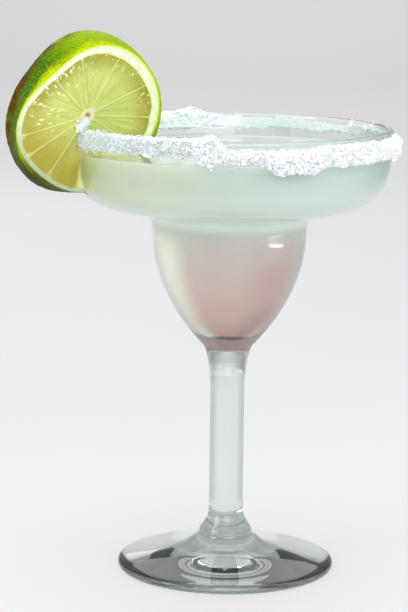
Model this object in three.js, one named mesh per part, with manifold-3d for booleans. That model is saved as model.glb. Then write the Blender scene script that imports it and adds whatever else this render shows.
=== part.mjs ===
// A margarita cocktail: a stemmed two-tier glass, its cloudy drink, a crust of coarse salt
// round the rim, and a thick lime wheel slit half way up and pushed onto the rim.
// Millimetres, +Z up. The origin is the centre of the foot's underside, on the table.
import * as THREE from "three";
import { mergeVertices } from "three/addons/utils/BufferGeometryUtils.js";
import Module from "manifold-3d";

const wasm = await Module();
wasm.setup();
const radians = THREE.MathUtils.degToRad;

// 0 before the start, 1 after the end, smooth between.
const smooth = THREE.MathUtils.smoothstep;

// Driving dimensions of the glass
const RIM_RADIUS = 57;
const GLASS_HEIGHT = 158.1;
const WALL = 2.3;
const FOOT_RADIUS = 38.7;
const FOOT_EDGE = 2.9;
const KNOB_RADIUS = 9.4;
const KNOB_HEIGHT = 12.6;
const STEM_RADIUS = 6.1;
const STEM_FOOT = 21.4;
const STEM_TOP = 66;
const WELL_RADIUS = 27.2;
const WELL_BASE = 80.8;
const WELL_FLOOR = 86;
const WELL_WALL = 2.5;
const SHOULDER = 126.1;
const BOWL_TOP = 146;
const WALL_TAPER = 0.8;
const ROUND_SEGMENTS = 56;

// Both sides of the glass: each row is a curve's two handles and its end, as radius and
// height, or a straight stretch's end. The outside climbs from the foot, the inside falls
// from the lip.
const OUTSIDE = {
  footEdge: [FOOT_RADIUS + 0.1, 0.2, FOOT_RADIUS + 0.4, 2.2, FOOT_RADIUS - 1, FOOT_EDGE],
  footDome: [28, 4.6, 14.5, 6, KNOB_RADIUS, KNOB_HEIGHT],
  knob: [KNOB_RADIUS + 0.9, KNOB_HEIGHT + 1.2, STEM_RADIUS - 0.2, 16.6, STEM_RADIUS, STEM_FOOT],
  stem: [STEM_RADIUS, STEM_TOP],
  flare: [STEM_RADIUS + 0.2, 72, 7.2, 78.6, 9, WELL_BASE],
  well: [19.1, 91.1, WELL_RADIUS, 105.6, WELL_RADIUS, SHOULDER - 4.4],
  shoulder: [WELL_RADIUS, SHOULDER - 1.2, WELL_RADIUS + 1.3, SHOULDER + 1.5, 32, SHOULDER + 2],
  upperBowl: [47, SHOULDER + 4.2, 54.4, 132.2, RIM_RADIUS - WALL_TAPER, BOWL_TOP],
  wall: [RIM_RADIUS, GLASS_HEIGHT - WALL / 2 - 1],
  lipEdge: [RIM_RADIUS, GLASS_HEIGHT - WALL / 2],
};
const INSIDE_RIM = RIM_RADIUS - WALL;
const INSIDE_WELL = WELL_RADIUS - WELL_WALL;
const INSIDE = {
  wall: [INSIDE_RIM - WALL_TAPER, BOWL_TOP],
  upperBowl: [INSIDE_RIM - 1.8, 134.9, 46.4, SHOULDER + 6.8, 32, SHOULDER + 4.5],
  shoulder: [WELL_RADIUS + 0.6, SHOULDER + 3.8, INSIDE_WELL, SHOULDER + 2, INSIDE_WELL, SHOULDER - 3.4],
  well: [INSIDE_WELL, 105.6, 14.5, WELL_FLOOR + 3.2, 0, WELL_FLOOR],
};

// Driving dimensions of what the glass holds
const GAP = 0.3;
const DRINK_LEVEL = 149.4;
const MENISCUS_RISE = 0.35;
const MENISCUS_WIDTH = 1.4;

// The lime wheel: where it sits on the rim, the way it points, how it leans, and its own
// thickness and slit
const LIME_AZIMUTH = radians(203);
const LIME_FACING = radians(208);
const LIME_LEAN = radians(15);
const LIME_ABOVE_RIM = 6.2;
const LIME_THICKNESS = 12;
const SLIT_WIDTH = 0.7;
const SLIT_START = 0.8;

// The wheel's outlines: a circle with waves round it, as a mean radius, where its middle lies,
// and each wave's count, share of the radius and angle in degrees.
const FACE_WAVES = [[2, 0.05, 49], [3, 0.025, -58], [4, 0.03, 2]];
const RIND_WAVES = [[2, 0.028, 68], [3, 0.044, -14]];
const LIME_FACE = { radius: 25.4, middle: [1.6, -0.8], waves: FACE_WAVES };
const LIME_RIND = { radius: 27.6, middle: [3, -1.3], waves: RIND_WAVES };

// The rind from the front face to the back: the share of the way from the face's outline to
// the rind's own, and the height as a share of half the thickness.
const RIND_STEPS = [
  [0.14, 0.93],
  [0.55, 0.6],
  [0.95, 0],
  [0.95, -0.6],
  [0.62, -0.94],
];
const BACK_SHARE = 0.5;

// The membranes between the segments, in degrees round the wheel, and its core
const MEMBRANES = [0, 31, 69, 104, 135, 164, 192, 210, 236, 266, 298, 330];
const MEMBRANE_RISE = 0.35;
const MEMBRANE_HALF_WIDTH = 3;
const LIME_CORE = [0.5, 0.8];
const CORE_DEPTH = 1.2;

// Where the pith begins, as a share of the way from the core, thickest towards one side
const PITH_SHARE = 0.91;
const PITH_DRIFT = 0.04;
const PITH_SIDE = radians(60);

// The flesh of a cut face, from the core out to the pith: share of that way, and how deep the
// flesh lies below the face there.
const FLESH_RINGS = [
  [0.08, 0.5],
  [0.38, 0.28],
  [0.72, 0.24],
  [0.95, 0.26],
  [1, 0],
];
const PITH_RING = 0.985;

// The salt crust: how far it hangs down the outside, stands over the lip and out from the wall,
// and how far it runs down the inside. The coarse stretch hangs lower and stands out further.
// From the clump in front round to the back, the crust leaves the lip and the inside bare.
// Stretches are azimuths in degrees.
const CRUST_DOWN = 5.2;
const CRUST_UP = 0.8;
const CRUST_OUT = 0.9;
const CRUST_INSIDE = 3.2;
const COARSE_DOWN = 3.2;
const COARSE_OUT = 0.7;
const BARE_LIP_DROP = 2;
const COARSE_FROM = [274, 290];
const COARSE_TO = [0, 30];
const BARE_LIP_FROM = [264, 270];
const BARE_LIP_TO = [92, 104];
const SALT_STEPS = 96;
const SALT_RELIEF = 0.3;

// The clumps that hang below the crust or stand on the lip: azimuth and spread in degrees,
// then how far each reaches down, up and out.
const CLUMPS = [
  [106, 4, 0.5, 1.6, 0.9],
  [150, 8, 1.2, 0.4, 0.5],
  [263, 3, 2.6, 1.2, 0.9],
  [273, 6, 1.4, 0, 0.3],
  [286, 4, 2.6, 0, 0.9],
  [292, 3, 1.6, 0, 0.6],
  [298, 3, 2, 0, 0.9],
  [352, 9, 0.6, 0.2, 0.3],
];

// The largest crystals, which stand out of the coarse stretch
const CRYSTALS = 14;
const CRYSTAL_SIZE = 1.6;
const CRYSTALS_START = 262;
const CRYSTALS_SPAN = 96;

// A closed geometry as a solid for cutting and joining.
function solid(geometry) {
  const bare = geometry.clone();
  bare.deleteAttribute("normal");
  bare.deleteAttribute("uv");
  const merged = mergeVertices(bare, 1e-4);
  return new wasm.Manifold(
    new wasm.Mesh({
      numProp: 3,
      vertProperties: new Float32Array(merged.getAttribute("position").array),
      triVerts: new Uint32Array(merged.index.array),
    }),
  );
}

// The largest body of a solid, back as a geometry with flat faces.
function geometryOf(body) {
  const whole = body.decompose().sort((a, b) => b.volume() - a.volume())[0];
  const { numProp, vertProperties, triVerts } = whole.getMesh();
  const corners = new Float32Array(triVerts.length * 3);
  triVerts.forEach((v, i) => {
    for (let k = 0; k < 3; k++) corners[3 * i + k] = vertProperties[numProp * v + k];
  });
  const geometry = new THREE.BufferGeometry();
  geometry.setAttribute("position", new THREE.BufferAttribute(corners, 3));
  geometry.computeVertexNormals();
  return geometry;
}

// An outline of (radius, height) points, turned once round the Z axis.
function turned(outline) {
  return new THREE.LatheGeometry(outline, ROUND_SEGMENTS).rotateX(Math.PI / 2);
}

// The outline moved out from its own material by a distance, with its ends kept on the axis.
function grown(outline, distance) {
  return outline.map((point, i) => {
    const before = outline[Math.max(i - 1, 0)];
    const after = outline[Math.min(i + 1, outline.length - 1)];
    const along = after.clone().sub(before).normalize();
    const moved = new THREE.Vector2(point.x + along.y * distance, point.y - along.x * distance);
    if (i === 0 || i === outline.length - 1) moved.x = 0;
    return moved;
  });
}

// Carries a path on along a side's rows, in order.
function follow(path, side) {
  for (const row of Object.values(side)) {
    if (row.length === 2) path.lineTo(...row);
    else path.bezierCurveTo(...row);
  }
}

// The inner surface of the bowl, from the lip down to the middle of the well's floor.
function innerOutline(lipHeight) {
  const path = new THREE.Path();
  path.moveTo(INSIDE_RIM, lipHeight);
  follow(path, INSIDE);
  return path.getPoints(5);
}

// The glass: foot, knob, stem, well, shoulder, wall and rounded lip, then down the inside.
function glassOutline() {
  const path = new THREE.Path();
  const lip = WALL / 2;
  path.moveTo(0, 0);
  path.lineTo(FOOT_RADIUS - 1.2, 0);
  follow(path, OUTSIDE);
  const round = new THREE.EllipseCurve(RIM_RADIUS - lip, GLASS_HEIGHT - lip, lip, lip, 0, Math.PI);
  const bead = round.getPoints(4).slice(1, -1);
  return [...path.getPoints(4), ...bead, ...innerOutline(GLASS_HEIGHT - lip)];
}

// The wheel's frame: x points into the glass, y up the wheel, z out of the face that shows.
function limePlace() {
  const up = new THREE.Vector3(0, 0, 1);
  const inward = new THREE.Vector3(-Math.cos(LIME_FACING), -Math.sin(LIME_FACING), 0);
  const turn = new THREE.Matrix4().makeBasis(inward, up, inward.clone().cross(up));
  const lean = new THREE.Matrix4().makeRotationX(LIME_LEAN);
  const reach = RIM_RADIUS - WALL / 2;
  const onRim = new THREE.Vector3(Math.cos(LIME_AZIMUTH), Math.sin(LIME_AZIMUTH), 0);
  onRim.multiplyScalar(reach).setZ(GLASS_HEIGHT + LIME_ABOVE_RIM);
  return new THREE.Matrix4().setPosition(onRim).multiply(turn).multiply(lean);
}

// A point of one of the wheel's outlines, at an angle round it.
function outlinePoint({ radius, middle, waves }, angle, extra) {
  let share = 1;
  for (const [count, size, phase] of waves) share += size * Math.cos(count * (angle - radians(phase)));
  const reach = radius * share + extra;
  return new THREE.Vector2(middle[0] + reach * Math.cos(angle), middle[1] + reach * Math.sin(angle));
}

// The wheel's outline part of the way from the face's to the rind's.
function limeOutline(angle, share, extra) {
  return outlinePoint(LIME_FACE, angle, extra).lerp(outlinePoint(LIME_RIND, angle, extra), share);
}

// The angles of the points round the wheel: at each membrane, beside it, and between.
function limeAngles() {
  return MEMBRANES.flatMap((start, i) => {
    const end = MEMBRANES[i + 1] ?? MEMBRANES[0] + 360;
    const beside = start + MEMBRANE_HALF_WIDTH;
    const before = end - MEMBRANE_HALF_WIDTH;
    const span = before - beside;
    return [start, beside, beside + span / 3, beside + (2 * span) / 3, before].map(radians);
  });
}

// The wheel as one closed skin: front face, rind with its rounded edges, and back face. With
// an extra it is the plain form grown by that much, which makes room for the wheel elsewhere.
function limeWheel(extra) {
  const angles = limeAngles();
  const half = LIME_THICKNESS / 2 + extra;
  const core = new THREE.Vector2(...LIME_CORE);
  const isMembrane = (i) => i % (angles.length / MEMBRANES.length) === 0;
  const face = (outlineShare, side) => {
    const edge = (angle) => limeOutline(angle, outlineShare, extra);
    const rings = FLESH_RINGS.map(([out, depth]) => (angle, i) => {
      const pith = PITH_SHARE - PITH_DRIFT * Math.cos(angle - PITH_SIDE);
      const flesh = isMembrane(i) ? Math.max(depth - MEMBRANE_RISE, 0) : depth;
      const point = core.clone().lerp(edge(angle), out * pith);
      return [point.x, point.y, side * (half - (extra ? 0 : flesh))];
    });
    rings.push((angle) => {
      const point = core.clone().lerp(edge(angle), PITH_RING);
      return [point.x, point.y, side * half];
    });
    return rings;
  };
  const rind = RIND_STEPS.map(([share, height]) => (angle) => {
    const point = limeOutline(angle, share, extra);
    return [point.x, point.y, height * half];
  });
  const rings = [...face(0, 1), ...rind, ...face(BACK_SHARE, -1).reverse()];
  const pole = half - (extra ? 0 : CORE_DEPTH);
  const points = [core.x, core.y, pole];
  for (const ring of rings) angles.forEach((angle, i) => points.push(...ring(angle, i)));
  points.push(core.x, core.y, -pole);
  return skinOf(points, rings.length, angles.length, true);
}

// Triangles over rings of points. Capped: the first and last points are poles. Otherwise the
// rings close on each other, as round a hoop.
function skinOf(points, ringCount, around, capped) {
  const index = [];
  const at = (ring, i) => (capped ? 1 : 0) + (ring % ringCount) * around + (i % around);
  for (let ring = 0; ring < (capped ? ringCount - 1 : ringCount); ring++) {
    for (let i = 0; i < around; i++) {
      const [a, b] = [at(ring, i), at(ring, i + 1)];
      const [c, d] = [at(ring + 1, i), at(ring + 1, i + 1)];
      index.push(a, c, b, b, c, d);
    }
  }
  if (capped) {
    const last = points.length / 3 - 1;
    for (let i = 0; i < around; i++) {
      index.push(0, at(0, i), at(0, i + 1));
      index.push(last, at(ringCount - 1, i + 1), at(ringCount - 1, i));
    }
  }
  const geometry = new THREE.BufferGeometry();
  geometry.setAttribute("position", new THREE.Float32BufferAttribute(points, 3));
  geometry.setIndex(index);
  return geometry;
}

// How far the crust reaches down, up, out and inside at an azimuth in degrees, in mm.
function saltAt(degrees) {
  const turn = ((degrees % 360) + 360) % 360;
  const coarse = Math.min(smooth(turn, ...COARSE_FROM) + 1 - smooth(turn, ...COARSE_TO), 1);
  const bare = Math.min(smooth(turn, ...BARE_LIP_FROM) + 1 - smooth(turn, ...BARE_LIP_TO), 1);
  const size = {
    down: CRUST_DOWN + COARSE_DOWN * coarse,
    up: CRUST_UP - BARE_LIP_DROP * bare,
    out: CRUST_OUT + COARSE_OUT * coarse,
    inside: CRUST_INSIDE * (1 - bare),
  };
  for (const [azimuth, spread, down, up, out] of CLUMPS) {
    const share = Math.exp(-(((turn - azimuth) / spread) ** 2));
    size.down += down * share;
    size.up += up * share;
    size.out += out * share;
  }
  return size;
}

// A repeatable number between -1 and 1 for a pair of whole numbers.
function scatter(a, b) {
  const wave = Math.sin(a * 127.1 + b * 311.7) * 43758.5453;
  return 2 * (wave - Math.floor(wave)) - 1;
}

// The crust's section at one place round the rim, as points from the outer foot of the crust
// up the outside, over the lip and down the inside, then back within the glass.
function saltSection(step) {
  const { down, up, out, inside } = saltAt((360 * step) / SALT_STEPS);
  const top = GLASS_HEIGHT + up;
  const rough = (k) => SALT_RELIEF * scatter(step, k);
  const middle = RIM_RADIUS - WALL / 2;
  const overLip = inside > CRUST_INSIDE / 2;
  const inner = overLip ? INSIDE_RIM - 0.6 : middle + 0.15;
  const floor = GLASS_HEIGHT - CRUST_INSIDE;
  return [
    [RIM_RADIUS - 0.9, GLASS_HEIGHT - down - 0.4 + rough(1)],
    [RIM_RADIUS + 0.55 * out + rough(2), GLASS_HEIGHT - down + 0.3 + rough(3)],
    [RIM_RADIUS + 1.1 * out + rough(4), GLASS_HEIGHT - 0.7 * down + rough(5)],
    [RIM_RADIUS + out + rough(6), GLASS_HEIGHT - 0.38 * down + rough(7)],
    [RIM_RADIUS + 0.75 * out + rough(8), top - 1],
    [middle, top + 0.12 + 0.5 * rough(9)],
    [inner, top - 0.8],
    [inner, floor + rough(10)],
    [middle, floor - 0.3],
  ];
}

// The whole crust as a hoop with the largest crystals standing out of it.
function saltHoop() {
  const points = [];
  for (let step = 0; step < SALT_STEPS; step++) {
    const angle = (2 * Math.PI * step) / SALT_STEPS;
    for (const [radius, height] of saltSection(step)) {
      points.push(radius * Math.cos(angle), radius * Math.sin(angle), height);
    }
  }
  let hoop = solid(skinOf(points, SALT_STEPS, saltSection(0).length, false));
  if (hoop.volume() < 0) throw new Error("the salt hoop is inside out");
  for (let k = 0; k < CRYSTALS; k++) {
    const degrees = CRYSTALS_START + (CRYSTALS_SPAN * (k + 0.5 + 0.4 * scatter(k, 1))) / CRYSTALS;
    const { down, out } = saltAt(degrees);
    const angle = radians(degrees);
    const size = CRYSTAL_SIZE * (1 + 0.3 * scatter(k, 2));
    const height = GLASS_HEIGHT - down * (0.55 + 0.35 * scatter(k, 5));
    const crystal = new THREE.BoxGeometry(size, size, size)
      .rotateX(3 * scatter(k, 3))
      .rotateY(3 * scatter(k, 4))
      .translate((RIM_RADIUS + out) * Math.cos(angle), (RIM_RADIUS + out) * Math.sin(angle), height);
    hoop = hoop.add(solid(crystal));
  }
  return hoop;
}

const outline = glassOutline();
const place = limePlace();
const wall = solid(turned(grown(outline, GAP)));
const limeRoom = solid(limeWheel(GAP).applyMatrix4(place));

// The slit runs from just under the wheel's core down to the rim, right through the wheel.
const slitLength = LIME_ABOVE_RIM + 1;
const slit = new THREE.BoxGeometry(SLIT_WIDTH, slitLength, 2 * LIME_THICKNESS)
  .translate(0, -slitLength / 2 - SLIT_START, 0)
  .applyMatrix4(place);
const lime = solid(limeWheel(0).applyMatrix4(place)).subtract(wall).subtract(solid(slit));

// The drink fills the bowl to its level, with a small meniscus up the wall.
const brim = DRINK_LEVEL + MENISCUS_RISE;
const taper = (WALL_TAPER * (GLASS_HEIGHT - brim)) / (GLASS_HEIGHT - BOWL_TOP);
const filled = grown(innerOutline(brim), GAP);
filled[0].set(INSIDE_RIM - GAP - taper, brim);
const surface = [
  new THREE.Vector2(0, DRINK_LEVEL),
  new THREE.Vector2(filled[0].x - MENISCUS_WIDTH, DRINK_LEVEL),
];
const drink = solid(turned([...surface, ...filled].reverse())).subtract(limeRoom);

const salt = saltHoop().subtract(wall).subtract(limeRoom);

const clear = { transparent: true, opacity: 0.35 };
const looks = {
  glass: [turned(outline), { color: 0xf2f7f6, roughness: 0.03, metalness: 0, ...clear }],
  drink: [geometryOf(drink), { color: 0xccdacf, roughness: 0.25, metalness: 0 }],
  salt_rim: [geometryOf(salt), { color: 0xf3f6f7, roughness: 0.8, metalness: 0 }],
  lime_wheel: [geometryOf(lime), { color: 0xb5c95a, roughness: 0.4, metalness: 0 }],
};

const cocktail = new THREE.Group();
for (const [name, [geometry, finish]] of Object.entries(looks)) {
  const mesh = new THREE.Mesh(geometry, new THREE.MeshStandardMaterial(finish));
  mesh.name = name;
  cocktail.add(mesh);
}

export default cocktail;
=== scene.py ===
"""A margarita cocktail: a stemmed two-tier glass of cloudy drink, a salted rim and a lime wheel.

The shapes are worked out in millimetres and put into their meshes in metres, in the frame of the
CAD model: +Z up, the origin under the middle of the foot, and -Y the side that the photo shows.
"""

import bpy
import numpy as np
from mathutils import Matrix, Vector


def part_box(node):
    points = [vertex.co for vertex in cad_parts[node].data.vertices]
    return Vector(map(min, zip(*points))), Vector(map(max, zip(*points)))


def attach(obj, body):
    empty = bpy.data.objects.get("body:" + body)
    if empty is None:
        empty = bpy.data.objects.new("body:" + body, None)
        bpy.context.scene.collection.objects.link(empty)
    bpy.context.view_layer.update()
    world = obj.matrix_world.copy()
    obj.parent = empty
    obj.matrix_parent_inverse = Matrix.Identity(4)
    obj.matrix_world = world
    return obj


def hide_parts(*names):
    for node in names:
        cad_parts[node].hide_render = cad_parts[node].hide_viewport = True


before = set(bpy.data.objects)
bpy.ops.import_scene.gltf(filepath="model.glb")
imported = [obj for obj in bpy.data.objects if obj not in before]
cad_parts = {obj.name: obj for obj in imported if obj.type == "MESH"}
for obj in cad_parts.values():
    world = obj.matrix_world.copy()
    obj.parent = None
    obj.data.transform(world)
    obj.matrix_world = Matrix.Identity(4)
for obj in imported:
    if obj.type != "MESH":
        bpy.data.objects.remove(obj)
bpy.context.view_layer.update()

MM = 0.001
random = np.random.default_rng(20)

# Driving dimensions of the glass, in mm
GLASS_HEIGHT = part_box("glass")[1][2] / MM
RIM_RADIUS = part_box("glass")[1][0] / MM
WALL = 2.3
FOOT_RADIUS = 38.7
FOOT_EDGE = 2.9
KNOB_RADIUS = 9.4
KNOB_HEIGHT = 12.6
STEM_RADIUS = 6.1
STEM_FOOT = 21.4
STEM_TOP = 66
WELL_RADIUS = 27.2
WELL_BASE = 80.8
WELL_FLOOR = 86
WELL_WALL = 2.5
SHOULDER = 126.1
BOWL_TOP = 146
WALL_TAPER = 0.8
INSIDE_RIM = RIM_RADIUS - WALL
INSIDE_WELL = WELL_RADIUS - WELL_WALL
LIP = WALL / 2

# The flat underside ends this far inside the foot's edge, and a turned skin's first ring lies
# this far from the axis, in mm. Then how finely a curve, a straight and the round are divided
FOOT_INSET = 1.2
POLE_GAP = 0.4
PER_CURVE, PER_LINE, GLASS_COLUMNS = 16, 5, 160

# Both sides of the glass: each row is a curve's two handles and its end, as radius and height,
# or a straight stretch's end. The outside climbs from the foot, the inside falls from the lip.
OUTSIDE = [
    [FOOT_RADIUS + 0.1, 0.2, FOOT_RADIUS + 0.4, 2.2, FOOT_RADIUS - 1, FOOT_EDGE],
    [28, 4.6, 14.5, 6, KNOB_RADIUS, KNOB_HEIGHT],
    [KNOB_RADIUS + 0.9, KNOB_HEIGHT + 1.2, STEM_RADIUS - 0.2, 16.6, STEM_RADIUS, STEM_FOOT],
    [STEM_RADIUS, STEM_TOP],
    [STEM_RADIUS + 0.2, 72, 7.2, 78.6, 9, WELL_BASE],
    [19.1, 91.1, WELL_RADIUS, 105.6, WELL_RADIUS, SHOULDER - 4.4],
    [WELL_RADIUS, SHOULDER - 1.2, WELL_RADIUS + 1.3, SHOULDER + 1.5, 32, SHOULDER + 2],
    [47, SHOULDER + 4.2, 54.4, 132.2, RIM_RADIUS - WALL_TAPER, BOWL_TOP],
    [RIM_RADIUS, GLASS_HEIGHT - LIP - 1],
    [RIM_RADIUS, GLASS_HEIGHT - LIP],
]
INSIDE = [
    [INSIDE_RIM - WALL_TAPER, BOWL_TOP],
    [INSIDE_RIM - 1.8, 134.9, 46.4, SHOULDER + 6.8, 32, SHOULDER + 4.5],
    [WELL_RADIUS + 0.6, SHOULDER + 3.8, INSIDE_WELL, SHOULDER + 2, INSIDE_WELL, SHOULDER - 3.4],
    [INSIDE_WELL, 105.6, 14.5, WELL_FLOOR + 3.2, 0, WELL_FLOOR],
]

# The drink, in mm, with the depth over which the wheel fades behind its skin
DRINK_LEVEL = 149.4
MENISCUS_RISE = 0.6
MENISCUS_WIDTH = 2.2
INTO_WALL = 0.12
FADE_BEHIND = 13

# The lime wheel: its place on the rim, and its outlines as a mean radius, where the middle
# lies, and waves of a count, a share of the radius and an angle in degrees
LIME_AZIMUTH = np.radians(203)
LIME_FACING = np.radians(208)
LIME_LEAN = np.radians(15)
LIME_ABOVE_RIM = 6.2
LIME_HALF = 6
FACE = (25.4, (1.6, -0.8), ((2, 0.05, 49), (3, 0.025, -58), (4, 0.03, 2)))
RIND = (27.6, (3, -1.3), ((2, 0.028, 68), (3, 0.044, -14)))
BACK_SHARE = 0.5
LIME_COLUMNS = 540

# Its cut faces: the membranes' angles, the core in mm, and the pale oval round it, whose long
# axis leans 45 degrees. As shares of the way out: where the pith starts, wider towards one side,
# and where a face's rings end and start. Then how many rings each part has. Last, in mm: how
# deep the flesh, the membranes and the core's pit lie, and how far each kind of ripple stands
MEMBRANES = np.radians([0, 31, 69, 104, 135, 164, 192, 210, 236, 266, 298, 330])
CORE = np.array([0.5, 0.8])
OVAL_SHIFT = np.array([0.5, 0.4])
OVAL_AXES = np.array([[1, 1], [-1, 1]]) / np.sqrt(2)
OVAL_REACH = np.array([4.4, 2])
PITH_SHARE, PITH_DRIFT, PITH_SCALLOP = 0.91, 0.04, 0.012
PITH_SIDE = np.radians(60)
FACE_END = 0.992
CORE_START = 0.015
FRONT_ROWS, BACK_ROWS, PITH_ROWS, RIND_ROWS = 74, 40, 9, 34
FLESH_SUNK, MEMBRANE_SUNK = 0.3, 0.02
LONG_CELLS, FINE_CELLS, SEGMENT_SWELL = 0.07, 0.05, 0.08
PIT_DEPTH, PIT_RADIUS = 0.9, 0.9
RIND_DENTS, RIND_LUMPS = 0.1, 0.22

# The salt crust, in mm: how far it hangs down the outside, stands over the lip and out from the
# wall, and runs down the inside, and how much of each the coarse stretch and the back add
CRUST_DOWN, CRUST_UP, CRUST_OUT, CRUST_INSIDE = 5.2, 0.6, 0.7, 3.2
COARSE_DOWN, COARSE_OUT, BACK_INSIDE = 3.2, 0.7, 2.2
THICK_INSIDE = 0.35

# Azimuths in degrees over which the coarse stretch, the bare lip and the back start and end
COARSE_FROM, COARSE_TO = (274, 290), (0, 30)
BARE_FROM, BARE_TO = (264, 270), (92, 104)
BACK_FROM, BACK_TO = (60, 90), (170, 190)

# Where the lip is bare, the crust's top lies below it: azimuths in degrees, counted on past 360,
# and the drops in mm. There its edge is seated in the wall by BARE_SEAT
LIP_TO_CRUST = (
    (0, 270, 295, 304, 345, 370, 410, 425, 440, 460),
    (0, 2.9, 2.9, 2, 2.1, 3.4, 2.4, 1.5, 1.5, 1.2),
)
BARE_SEAT = 0.25

# Clumps: azimuth and spread in degrees, then how far each reaches down, up and out
CLUMPS = (
    (106, 4, 0.5, 1.6, 0.9),
    (150, 8, 1.2, 0.4, 0.5),
    (263, 3, 2.6, 1.2, 0.9),
    (273, 6, 1.4, 0, 0.3),
    (286, 4, 2.6, 0, 0.9),
    (292, 3, 1.6, 0, 0.6),
    (298, 3, 2, 0, 0.9),
    (352, 9, 0.6, 0.2, 0.1),
)

# The way over the lip and down the inside, after the way of 1 that climbs the outside, and the
# rows within the wall that close the crust, as shares of the height from its inner end to its
# outer one
WAY_OVER = 0.6
WITHIN_ROWS = np.array([[0, 0.06, 0.94, 1]])
CRUST_COLUMNS, CRUST_ROWS = 900, 22

# Crystals: how many are drawn of each kind, and their sizes in mm. A coarse one's size is the
# least size and a share of the span, which is the cube of a random number, so most are small
FINE_CRYSTALS, COARSE_CRYSTALS, SLIT_GRAINS = 15000, 4200, 260
FINE_SIZES, SLIT_SIZES = (0.26, 0.6), (0.4, 0.85)
COARSE_LEAST, COARSE_SPAN = 0.5, 1.3
STRETCH = 0.35

# Where they lie: along the crust's way, round the coarse stretch in degrees, and how many stay
# past the lip's top. In the slit, on the wheel's face in mm: the line's start and run, and the
# corners of the patch of loose grains
FINE_WAYS, COARSE_WAYS, COARSE_ROUND = (-0.03, 1.45), (0.02, 0.95), (258, 400)
TOP_WAY, KEPT_ON_TOP = 0.93, 0.35
SLIT_START, SLIT_RUN = np.array([0.4, -0.9]), np.array([-2.8, -3.4])
LOOSE_PATCH = ((0, -6.6), (7, -4.6))
CUBE_CORNERS = np.array([[x, y, z] for x in (-1, 1) for y in (-1, 1) for z in (-1, 1)]) / 2
CUBE_FACES = np.array(
    [[0, 1, 3, 2], [4, 6, 7, 5], [0, 4, 5, 1], [2, 3, 7, 6], [0, 2, 6, 4], [1, 5, 7, 3]]
)

# Heights in m between which a colour fades in, or out when the second is the lower: the
# glass's painted edge shade above the foot, clear of the shoulder and along the stem
ABOVE_FOOT = (0.012, 0.022)
BELOW_SHOULDER, ABOVE_SHOULDER = (0.122, 0.116), (0.136, 0.146)
STEM_FROM, STEM_TO = (0.022, 0.026), (0.084, 0.074)

# The same in the drink: up the well, into the bowl, the warm patch, the painted dark
# reflection at the tip, the painted light on the bowl's underside from above and from below,
# and the matt tip
UP_WELL, INTO_BOWL, WARM_UNDER = (0.088, 0.114), (0.116, 0.128), (0.12, 0.106)
PAINTED_TIP_HEIGHTS, MATT_TIP = (0.0878, 0.0867), (0.0886, 0.087)
UNDER_BOWL, OVER_WELL = (0.144, 0.129), (0.122, 0.1275)

# The floor, in m: how far it lies under the foot, where its backdrop starts and ends, and how
# fast that curves up
FLOOR_GAP, BACKDROP_FROM, BACKDROP_TO, BACKDROP_RISE = 0.0001, 2.5, 4.5, 0.6

# The camera: its place in m, its turns in degrees and its lens in mm
CAMERA_PLACE = (0, -0.784, 0.230)
CAMERA_TURN, CAMERA_DOWN, CAMERA_ROLL = 0.63, 9.82, 0.64
LENS, SENSOR = 132.2, 36


def srgb(red, green, blue):
    """A colour given as 0 to 255 on screen, as the linear colour that shaders take."""
    shown = np.array([red, green, blue]) / 255
    linear = np.where(shown < 0.04045, shown / 12.92, ((shown + 0.055) / 1.055) ** 2.4)
    return (*linear.tolist(), 1.0)


# Colours of the glass, as the shares of light that pass: face on, edge-on, which is a painted
# grey shade for the dark edges that glass shows, through its depth and straight through, and
# the floor's two greys
FACE_ON, EDGE_PAINTED_SHADE = (0.97, 0.98, 0.975, 1), (0.42, 0.46, 0.455, 1)
GLASS_DEPTH, STRAIGHT_THROUGH = (0.55, 0.6, 0.59, 1), (0.93, 0.945, 0.94, 1)
FLOOR_GREYS = (0.6, 0.6, 0.6, 1), (0.62, 0.62, 0.62, 1)

# Colours of the drink, with painted light on the well's two sides and on the bowl's
# underside, and a painted dark reflection at the tip
BOWL_LEFT, BOWL_RIGHT = srgb(186, 190, 173), srgb(190, 203, 200)
WELL_LOW, WELL_HIGH = srgb(214, 171, 169), srgb(186, 173, 169)
WELL_LEFT_PAINTED_LIGHT, WELL_RIGHT_PAINTED_LIGHT = srgb(246, 248, 232), srgb(200, 208, 194)
WARM_PATCH, TIP_PAINTED_REFLECTION = srgb(172, 134, 136), srgb(70, 50, 46)
UNDERSIDE_PAINTED_LIGHT, PULP = srgb(238, 247, 238), srgb(202, 208, 200)
LIME_BEHIND, LIME_TOUCHING = srgb(184, 197, 112), srgb(222, 230, 168)

# Colours of the salt: painted shade for the dips of its bumps, wet and dry, then its white
WET_PAINTED_SHADE, DRY_PAINTED_SHADE = srgb(206, 218, 218), srgb(220, 226, 232)
WET_SALT, DRY_SALT = srgb(232, 240, 239), srgb(252, 253, 253)

# Colours of the lime, with painted shade to the lower left of the flesh and pith and on the
# rind underneath, painted light at the flesh's foot and on the rind's top, and painted glints
FLESH_DEEP, FLESH_LIGHT, FLESH_GRAIN = srgb(180, 189, 97), srgb(196, 205, 119), srgb(214, 220, 140)
FLESH_OLIVE, FLESH_PAINTED_SHADE = srgb(150, 144, 44), srgb(172, 160, 66)
FLESH_PAINTED_LIGHT, FLESH_PAINTED_GLINT = srgb(238, 243, 196), srgb(244, 246, 206)
RIND_DARK, RIND_GREEN = srgb(44, 78, 0), srgb(100, 142, 6)
RIND_PAINTED_LIGHT_TOP, RIND_BESIDE_CUT = srgb(138, 168, 0), srgb(178, 196, 0)
RIND_PORE, RIND_BROWN_PATCH, RIND_PAINTED_SHADE = srgb(38, 70, 8), srgb(84, 40, 0), srgb(56, 56, 8)
PITH_GREEN, PITH_WHITE = srgb(214, 224, 184), srgb(238, 244, 224)
PITH_FRINGE, PITH_SHADED = srgb(204, 226, 106), srgb(158, 170, 146)
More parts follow.
